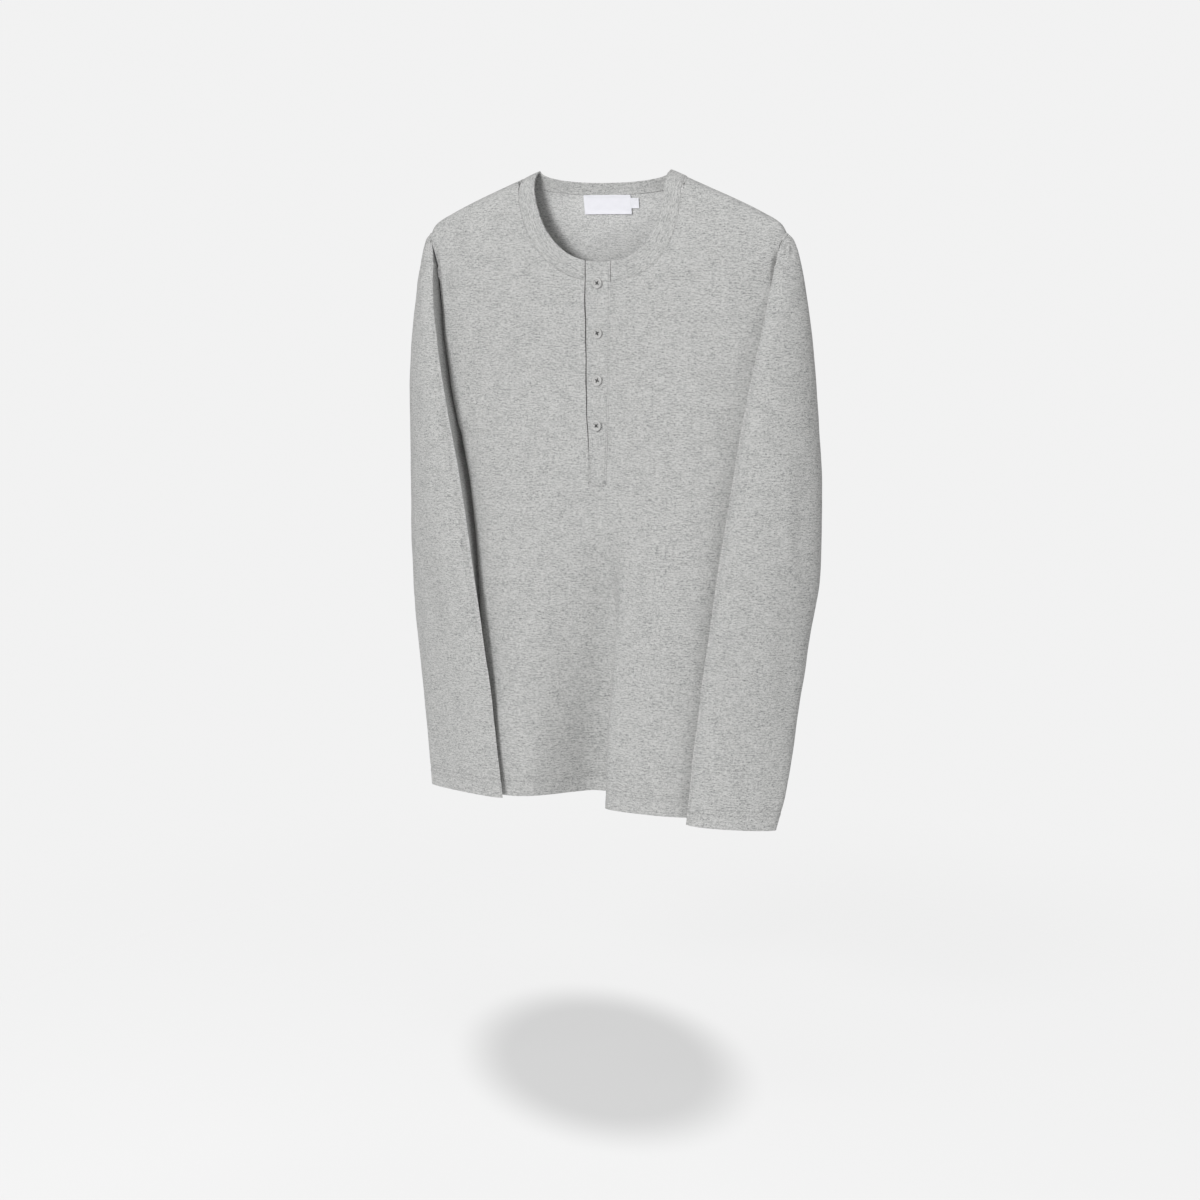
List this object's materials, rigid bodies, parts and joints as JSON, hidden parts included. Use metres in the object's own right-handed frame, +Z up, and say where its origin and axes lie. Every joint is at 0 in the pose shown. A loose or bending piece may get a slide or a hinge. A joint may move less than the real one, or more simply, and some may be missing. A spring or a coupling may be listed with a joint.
{
  "type": "henley shirt with long sleeves, filled out as worn",
  "caption": "Long-sleeved jersey henley shirt with a narrow round neckband, a short buttoned placket and a bare neck label, hanging filled out and hollow.",
  "frame": {"origin": "middle of the neck opening, level with its high points, where the wearer's neck and shoulders hold the shirt", "axes": "+Z up, the front faces -Y, the wearer's left side is at +X"},
  "size_m": [0.5039, 0.1229, 0.6903],
  "materials": {
    "jersey": "matte light grey marl jersey with fine broken streaks",
    "button": "satin light grey",
    "label": "smooth white woven tape"
  },
  "bodies": {
    "root": {"front": "jersey", "back": "jersey", "sleeve_left": "jersey", "sleeve_right": "jersey", "neckband": "jersey", "placket_flap": "jersey", "placket_stand": "jersey", "button_1": "button", "button_2": "button", "button_3": "button", "button_4": "button", "label": "label", "size_tab": "label"}
  },
  "joints": []
}
